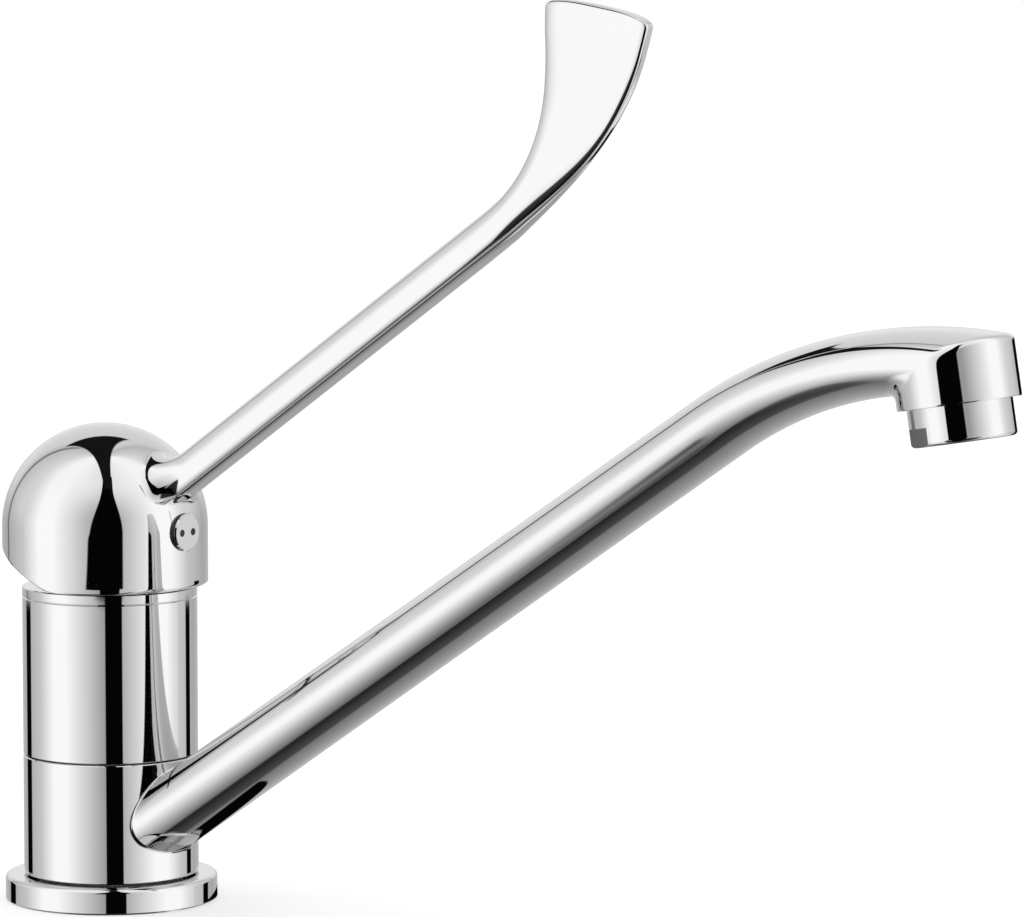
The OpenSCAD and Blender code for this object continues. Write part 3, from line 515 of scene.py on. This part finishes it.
def rim_height(r):
    """Height of the dome's lower rim: level in front, and rising towards the back."""
    d = RELIEF_X + DOME_BACK - r * np.cos(dome_a)
    return RIM_Z + math.tan(RELIEF) * (d + np.sqrt(d * d + 4.0)) / 2


ball = np.linspace(0, math.pi / 2, 84)[:, None] + 0 * dome_a
outer = dome_ring(DOME_R * np.sin(ball), DOME_Z + DOME_R * np.cos(ball))
rim_round = mix(SIDE_R, RIM_R, ease(np.cos(dome_a), 0.68, 0.92))
quarter = np.linspace(0, math.pi / 2, 10)[:, None]
round_r = DOME_R - rim_round * (1 - np.cos(quarter))
rounded = dome_ring(round_r, rim_height(round_r) + rim_round * (1 - np.sin(quarter)))
skirt = mix(outer[-1], rounded[0], np.linspace(0, 1, 14)[1:-1, None, None])
inside_r = DOME_R - DOME_WALL
lip_r = np.array([[inside_r + LIP_C], [inside_r]]) + 0 * dome_a
lip = dome_ring(lip_r, rim_height(lip_r) + np.array([[0.0], [LIP_C]]))
inner = dome_ring(inside_r * np.sin(ball), DOME_Z + inside_r * np.cos(ball))
dome = np.concatenate([outer, skirt, rounded, lip, inner[::-1]])

ARM_COLUMNS = 200
column = np.arange(ARM_COLUMNS) * TURN / ARM_COLUMNS


def lever_form(s):
    """Half width, half height, upper and lower powers of the lever's section at s. The arm
    thins and grows tall over the bend, where its outer edge is rounder, and its end is
    rounded in both directions."""
    w, left = s - ARM_RUN, lever_len - s
    blade = ease(w, BLADE_FROM, lever_bend_len + BLADE_OVER)
    thin = ease(w, 0, lever_bend_len * BLADE_THIN)
    end = (1 - (1 - np.clip(left / PADDLE_CAP, 0, 1)) ** CAP_POWER) ** (1 / CAP_POWER)
    tip = np.sqrt(1 - (1 - np.clip(left / PADDLE_T * 2, 0, 1)) ** 2)
    soft = ease(w, SOFT_FROM, SOFT_BY) * (1 - ease(w, SOFT_BY, lever_bend_len))
    return (mix(ARM_W, PADDLE_T, thin) / 2 * mix(PADDLE_TIP, 1, tip),
            mix(ARM_H, PADDLE_W, blade) / 2 * end, mix(TOP_POWER, BLADE_POWER, blade),
            mix(mix(LOW_POWER, EDGE_POWER, blade), BEND_POWER, soft))


# At the root every column keeps one ray; the dome's centre lies a little above the arm's axis.
arm_ray = np.arctan2(ARM_H * np.sin(column), ARM_W * np.cos(column))
dome_along = -DOME_BACK * math.cos(ARM_SLOPE) + (DOME_Z - ARM_Z) * math.sin(ARM_SLOPE)
dome_up = DOME_BACK * math.sin(ARM_SLOPE) + (DOME_Z - ARM_Z) * math.cos(ARM_SLOPE)


def on_dome(t, radius=DOME_R):
    """Where a ray's point t out from the arm's axis lies on the dome's ball."""
    high, side = t * np.sin(arm_ray) - dome_up, t * np.cos(arm_ray)
    return dome_along + np.sqrt(radius ** 2 - high ** 2 - side ** 2)


def arm_radius(s):
    """Distance from the lever's axis to its surface along each column's ray."""
    u, v, upper, lower = lever_form(s)
    return oval(arm_ray, u, v, upper, lower)


# The fillet is small under the arm and wide above it. Inside the dome's wall the arm is closed
# off, and past the shank each column follows the section's own shape.
NECK_LOW, NECK_TOP, SHANK_END, TIP_GAP = (0.7, 1.0), (5.5, 9.0), 60.0, 0.02
LEVER_SUNK_R, LEVER_SUNK_IN = 26.9, 0.6
top_side = ease(np.sin(arm_ray), -1.0, -0.1)
neck_foot, neck_along = (mix(a, b, top_side) for a, b in zip(NECK_LOW, NECK_TOP))
lever_s, lever_t = root_fillet(on_dome, arm_radius, neck_foot, neck_along)
lever_sunk_t = np.stack([0 * arm_ray, lever_t[0] - LEVER_SUNK_IN])
lever_root = arm_point(on_dome(lever_sunk_t, LEVER_SUNK_R), lever_sunk_t, arm_ray,
                       ARM_SLOPE, ARM_Z)
lever_neck = arm_point(lever_s, lever_t, arm_ray, ARM_SLOPE, ARM_Z)
shank_s = mix(lever_s[-1], SHANK_END, np.linspace(0, 1, 26)[1:, None])
lever_shank = arm_point(shank_s, arm_radius(shank_s), arm_ray, ARM_SLOPE, ARM_Z)

cap_s = lever_len - TIP_GAP - (PADDLE_CAP - TIP_GAP) * np.linspace(1, 0, 26)[1:] ** 2
path_s = np.concatenate([np.linspace(SHANK_END, ARM_RUN, 40)[1:],
                         np.linspace(ARM_RUN, lever_len - PADDLE_CAP, 90)[1:], cap_s])[:, None]
path_a = np.clip(ARM_SLOPE + (path_s - ARM_RUN) / LEVER_BEND_R, ARM_SLOPE, PADDLE_SLOPE)
run, past = np.minimum(path_s, ARM_RUN), np.maximum(0, path_s - ARM_RUN - lever_bend_len)
path_x = (run * math.cos(ARM_SLOPE) + LEVER_BEND_R * (np.sin(path_a) - math.sin(ARM_SLOPE))
          + past * np.cos(path_a))
path_z = (ARM_Z + run * math.sin(ARM_SLOPE)
          + LEVER_BEND_R * (math.cos(ARM_SLOPE) - np.cos(path_a)) + past * np.sin(path_a))
lever_u, lever_v, lever_up, lever_low = lever_form(path_s + 0 * column)
power = np.where(np.sin(column) >= 0, lever_up, lever_low)
grow = (np.abs(np.cos(column)) ** power + np.abs(np.sin(column)) ** power) ** (-1 / power)
lever_w = grow * lever_v * np.sin(column)
blade = np.stack([path_x - lever_w * np.sin(path_a), grow * lever_u * np.cos(column),
                  path_z + lever_w * np.cos(path_a)], axis=-1)
tip_end = np.repeat(blade[-1:].mean(axis=1, keepdims=True), ARM_COLUMNS, axis=1)
lever_arm = np.concatenate([lever_root, lever_neck, lever_shank, blade, tip_end])

# Inside the dome: the boss that is clamped on the stem, and the one that the grub screw is in.
PIVOT_Z, STEM_LEAN, SOCKET_LOW, SOCKET_TOP = 74.7233, math.radians(12.0), 22.0, 36.05
SOCKET_R, SOCKET_HOLE, GRUB_R, GRUB_HOLE, GRUB_FROM, GRUB_TO = 7.5, 5.75, 6.0, 3.05, 14.0, 25.4
socket_r = np.array([0, SOCKET_R, SOCKET_R, SOCKET_HOLE, SOCKET_HOLE, 0])[:, None] + 0 * dome_a
out_x, out_y = socket_r * np.cos(dome_a), socket_r * np.sin(dome_a)
foot_x = out_x * math.cos(STEM_LEAN) + DOME_BACK
foot_z = PIVOT_Z - DOME_Z - out_x * math.sin(STEM_LEAN)
slant = foot_x * math.sin(STEM_LEAN) + foot_z * math.cos(STEM_LEAN)
reach_up = -slant + np.sqrt(slant ** 2 + (DOME_R - DOME_WALL / 2) ** 2
                            - foot_x ** 2 - foot_z ** 2 - out_y ** 2)
socket_h = np.array([SOCKET_LOW, SOCKET_LOW, SOCKET_TOP, SOCKET_TOP])[:, None] + 0 * dome_a
socket_h = np.concatenate([reach_up[:2], socket_h])
socket = np.stack([foot_x - DOME_BACK + socket_h * math.sin(STEM_LEAN), out_y,
                   foot_z + DOME_Z + socket_h * math.cos(STEM_LEAN)], axis=-1)
grub = turned([(GRUB_HOLE, GRUB_FROM), (GRUB_R, GRUB_FROM), (GRUB_R, GRUB_TO),
               (GRUB_HOLE, GRUB_TO), (GRUB_HOLE, GRUB_FROM)], 96)
grub = grub[..., [2, 1, 0]] * [1, 1, -1] + [0, 0, DOME_Z]

handle = skin("lever_casting", chrome_cast, [dome, lever_arm, socket, grub])
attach(handle, "lever")
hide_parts("lever_handle")

# Indicator plug and dots
# A chromed plastic plug covers the grub screw. Its side is painted near-black: painted shade for
# the dark gap round the plug. Its two pockets are filled with red and dark blue paint.

# The plug's side colours are painted shade: near-black where the gap round the plug is dark.
PLUG_SIDE_SHADE, PLUG_SIDE_SHADE_PALE = (0.006, 0.006, 0.007), (0.012, 0.012, 0.013)
PLUG_FACE = (0.02725, 0.02735)     # metres forward: the chrome face meets the painted side shade between these
RED_DEEP, RED_PALE = (0.060, 0.004, 0.010), (0.085, 0.007, 0.014)
BLUE_DEEP, BLUE_PALE = (0.012, 0.014, 0.022), (0.020, 0.023, 0.034)


def paint(deep, pale):
    """A filled dot of paint: even colour, a little paler in specks."""
    def recipe(place):
        speck = noise(place, 2400.0)
        return {"Base Color": speck.tint(deep, pale), "Roughness": 0.22 + speck * 0.15}
    return recipe


def plug_face_and_painted_side_shade(place):
    """Chrome face on a near-black side: the side is painted shade for the dark gap round the
    plug.
    """
    face = place.node("SeparateXYZ", {}, {"Vector": place}, out="X").between(*PLUG_FACE)
    cloud = noise(place, 300.0)
    return {"Base Color": face.node("Mix", {"data_type": "RGBA"}, {
                0: face, 6: cloud.tint(PLUG_SIDE_SHADE, PLUG_SIDE_SHADE_PALE),
                7: cloud.tint(CHROME_PALE, CHROME_DEEP)}, out=2),
            "Metallic": face, "Roughness": 0.30 - face * 0.27 + cloud * 0.02}


# The plug's material is chrome on its face and painted shade on its side.
dress(surface("plug_painted_side_shade", plug_face_and_painted_side_shade), "indicator_plug")
dress(surface("paint_red", paint(RED_DEEP, RED_PALE), Specular_IOR_Level=0.2), "hot_dot")
dress(surface("paint_blue", paint(BLUE_DEEP, BLUE_PALE), Specular_IOR_Level=0.2), "cold_dot")

# Studio
# A white tent and a pale floor. Black cards stand outside the view and show only in the
# polished metal, where they draw the dark bands that give chrome its shape.


def flat_sheet(name, rows, material):
    """A sheet through rows of left and right edge points, in metres, with a UV map that runs
    from 0 to 1 across and along it."""
    edge = np.array(rows, float)
    n = len(edge)
    mesh = bpy.data.meshes.new(name)
    quads = [[2 * k, 2 * k + 1, 2 * k + 3, 2 * k + 2] for k in range(n - 1)]
    mesh.from_pydata(edge.reshape(-1, 3).tolist(), [], quads)
    along = np.repeat(np.linspace(0, 1, n), 2)
    across = np.tile([0.0, 1.0], n)
    corners = np.array(quads).ravel()
    layer = mesh.uv_layers.new(name="UVMap")
    layer.data.foreach_set("uv", np.stack([across[corners], along[corners]], -1).ravel())
    mesh.materials.append(material)
    made = bpy.data.objects.new(name, mesh)
    bpy.context.scene.collection.objects.link(made)
    return made


# The floor takes the tap's soft shadow. Its own glow brings it up to white for the camera.
FLOOR_PALE, FLOOR_PALER, FLOOR_GLOW = (0.80, 0.80, 0.80), (0.83, 0.83, 0.83), (0.30, 0.30, 0.30)
FLOOR_HALF = 4
floor_paint = bpy.data.materials.new("floor_pale")
floor_paint.use_nodes = True
floor_tree = floor_paint.node_tree
floor_start = Wire(floor_tree)
seen = (floor_start.node("LightPath", {}, {}, out="Is Camera Ray")
        + floor_start.node("LightPath", {}, {}, out="Is Glossy Ray"))
floor_place = floor_start.node("TexCoord", {}, {}, out="Object")
floor_shader = floor_tree.nodes["Principled BSDF"]
floor_start.put(floor_shader.inputs["Base Color"],
                noise(floor_place, 5.0).tint(FLOOR_PALE, FLOOR_PALER))
floor_shader.inputs["Roughness"].default_value = 0.9
floor_shader.inputs["Specular IOR Level"].default_value = 0.0
floor_shader.inputs["Emission Strength"].default_value = 1.0
floor_start.put(floor_shader.inputs["Emission Color"],
                seen.maths("MINIMUM", seen, 1.0).tint((0, 0, 0), FLOOR_GLOW))
floor = flat_sheet("floor", [[(-FLOOR_HALF, side, 0), (FLOOR_HALF, side, 0)]
                             for side in (-FLOOR_HALF, FLOOR_HALF)], floor_paint)
floor.visible_glossy = False


def card_black(name, soft_side, soft_end, grey):
    """Dark card: its edges fade over the given shares of its width and length."""
    made = bpy.data.materials.new(name)
    made.use_nodes = True
    tree = made.node_tree
    start = Wire(tree)
    uv = start.node("TexCoord", {}, {}, out="UV")
    u = start.node("SeparateXYZ", {}, {"Vector": uv}, out="X")
    v = start.node("SeparateXYZ", {}, {"Vector": uv}, out="Y")
    mask = (u.between(0, soft_side) * (1 - u).between(0, soft_side)
            * v.between(0, soft_end) * (1 - v).between(0, soft_end))
    black = start.node("Emission", {}, {"Color": (grey, grey, grey, 1)})
    clear = start.node("BsdfTransparent", {}, {})
    both = start.node("MixShader", {}, {0: mask, 1: clear, 2: black})
    start.put(tree.nodes["Material Output"].inputs["Surface"], both)
    return made


def card(name, rows, soft_side=0.05, soft_end=0.03, grey=0.002):
    """A dark card that only polished metal sees."""
    made = flat_sheet(name, rows, card_black(name + "_black", soft_side, soft_end, grey))
    made.visible_camera = made.visible_diffuse = made.visible_shadow = False
    made.visible_transmission = made.visible_volume_scatter = False


VIEW_A = math.radians(40.0)
UP = np.array([0, 0, 1])


def level_way(bearing):
    """Level direction at a bearing in degrees: 0 towards the camera, growing to the right."""
    a = VIEW_A + np.radians(bearing)
    return np.stack([np.sin(a), -np.cos(a), 0 * a], axis=-1)


# The tall card is bent round the tap, in front of it. Its edges are bearings that change with
# the height: it is widest just above the cut and narrows upwards, and below the cut it is a
# plain strip.
FRONT_FAR, CUT = 0.643, (0.0079, 0.0091)
card_z = np.concatenate([np.linspace(-1.4, 0.0, 8), np.linspace(*CUT, 9),
                         np.linspace(0.01, 0.06, 22), np.linspace(0.08, 1.3, 62)])
card_cut = ease(card_z, *CUT)
card_left = mix(-7.0, -4.1 - 14.0 * np.exp(-(card_z / 0.449) ** 2)
                - 4.9 * np.exp((0.0093 - card_z.clip(0.0093)) / 0.0204), card_cut)
card_right = mix(16.0, 20.0 - 8.0 * ease(card_z, 0.05, 0.7) + 2.2 * ease(card_z, 0.7, 1.24),
                 card_cut)
card_up = UP * card_z[:, None]
card_edge = [FRONT_FAR * level_way(side) + card_up for side in (card_left, card_right)]
card("card_front", np.stack(card_edge, axis=1), 0.05, 0.02)

# Two strips stand behind the tap, one on each side, below the table's level, which polished
# metal looks through.
STRIP_FAR, STRIP_FROM, STRIP_ENDS = 0.69, 0.0275, (-0.6, -0.003)
strip_z = UP * np.array(STRIP_ENDS)[:, None]
for side, start, first, last in (("left", -68, -145, -128), ("right", 62, 118, 131)):
    strip_foot = STRIP_FROM * level_way(start)
    card("card_" + side, np.stack([strip_foot + STRIP_FAR * level_way(turn) + strip_z
                                   for turn in (first, last)], axis=1), 0.1, 0.01)

# Part of a ring lies round the tap's foot, on the spout's far side and just under the table's
# level.
RING_SHIFT, RING_DOWN, RING_R = 0.0095, 0.006, (0.0305, 0.055)
foot_turn = np.linspace(58.0, 178.0, 26)
foot_mid = RING_SHIFT * level_way(165.0) - RING_DOWN * UP
card("card_foot", np.stack([foot_mid + r * level_way(foot_turn) for r in RING_R], axis=1))

# A dark strip hangs over the handle, 155 mm above the paddle. Its middle is a straight line that
# drifts to the right towards the camera, and it flares to the back with a distance cubed.
OVER_Z, OVER_ENDS = 0.405, (-0.197, 0.299)
OVER_SIDE, OVER_DRIFT = -0.0125, 0.122
OVER_HALF, FLARE, FLARE_FROM = 0.028, 1.85, 0.200
over_near = np.linspace(*OVER_ENDS, 33)[:, None]
over_half = OVER_HALF + FLARE * (FLARE_FROM - over_near).clip(0) ** 3
over_side = OVER_SIDE + OVER_DRIFT * over_near
over_mid = OVER_Z * UP + over_near * level_way(0.0) + over_side * level_way(90.0)
over_edge = [over_mid + turn * over_half * level_way(90.0) for turn in (-1, 1)]
card("card_over", np.stack(over_edge, axis=1), 0.06, 0.03, 0.012)

# A small card stands behind the outlet.
card("card_outlet", [[(0.24, 0.12, 0.08), (0.30, 0.15, 0.08)],
                     [(0.24, 0.12, 0.18), (0.30, 0.15, 0.18)]], 0.1, 0.1)

# The tent: white to the camera and for light. Polished metal sees two bright sides, which grow
# darker towards the front and the back, a pale roof, and below it the dark table in front, a
# paler patch beyond it on the right and a dark floor behind. Angles are in degrees.
tent = bpy.data.worlds.new("white_tent")
bpy.context.scene.world = tent
tent.use_nodes = True
tent_start = Wire(tent.node_tree)
way = tent_start.node("TexCoord", {}, {}, out="Generated")


def part_along(bearing):
    """How far a direction points along a level bearing, given in degrees."""
    return way.node("VectorMath", {"operation": "DOT_PRODUCT"},
                    {0: way, 1: level_way(float(bearing)).tolist()}, out="Value")


def within(value, low, high, soft):
    """1 where a value lies between low and high, fading to 0 over soft on both sides."""
    return value.between(low - soft, low) * (1 - value.between(high, high + soft))


near, across = part_along(0), part_along(90)
up = way.node("SeparateXYZ", {}, {"Vector": way}, out="Z")
height = way.maths("ARCSINE", up) * math.degrees(1)
bearing = way.maths("ARCTAN2", across, near) * math.degrees(1)
turned_by = way.maths("ABSOLUTE", bearing)

# SIDES gives the tent's grey at bearings to either side: dark in front, an even climb to the
# bright side, a steep fall behind it and a dim back. LIGHT is how bright its white is.
LIGHT = 1.75
SIDES = [(6, 0.30), (61, 0.93), (80, 0.93), (105, 0.54), (140, 0.34), (180, 0.36)]
sides = way.node("ValToRGB", {"stops": [(a / 180, (g, g, g)) for a, g in SIDES]},
                 {"Fac": turned_by * (1 / 180)})
roof = height.between(10, 55) * (1 - turned_by.between(80, 115)) * 0.75
lifted = height.between(-7, 13) * (turned_by.between(92, 114) * 0.12
                                   + turned_by.between(139, 150) * 0.12)
lowered = height.node("MapRange", {}, {"Value": height, "From Min": -85.0, "From Max": -22.0,
                                       "To Min": 0.14, "To Max": 1.0})
shade = (sides * (1 - roof) + roof * 0.88 + lifted) * lowered
beyond = within(bearing, 92, 140, 12) * within(height, -52, -30, 10)
shade = shade.maths("MAXIMUM", shade, beyond * 0.68) * LIGHT

line_left = within(bearing, -139.6, -136.4, 1.0) * within(height, -6, 60, 8)
table = within(bearing, -44, 30, 8) * (1 - height.between(-20, -13)) * height.between(-80, -62)
under = (1 - height.between(-66, -60)) * turned_by.between(80, 110)
shade = shade * (1 - line_left * 0.6) * (1 - table * 0.95) * (1 - under * 0.6)
polished = way.node("LightPath", {}, {}, out="Is Glossy Ray")
tent_light = tent.node_tree.nodes["Background"]
tent_light.inputs["Color"].default_value = (1, 1, 1, 1)
tent_start.put(tent_light.inputs["Strength"], 1 - polished * (1 - shade))

# Camera
# A long lens from the front right, a little above the spout, as in the photograph. It has no
# shift and no depth of field.

lens = bpy.data.cameras.new("camera")
lens.sensor_width, lens.sensor_fit, lens.lens = 36.0, "HORIZONTAL", 214.68
lens.clip_start, lens.clip_end = 0.05, 50.0
camera = bpy.data.objects.new("camera", lens)
camera.location = (1.0704, -1.2757, 0.2995)
camera.rotation_euler = (math.radians(90 - 6.113), 0, math.radians(36.2))
bpy.context.scene.collection.objects.link(camera)
bpy.context.scene.camera = camera
bpy.context.scene.view_settings.view_transform = "Standard"
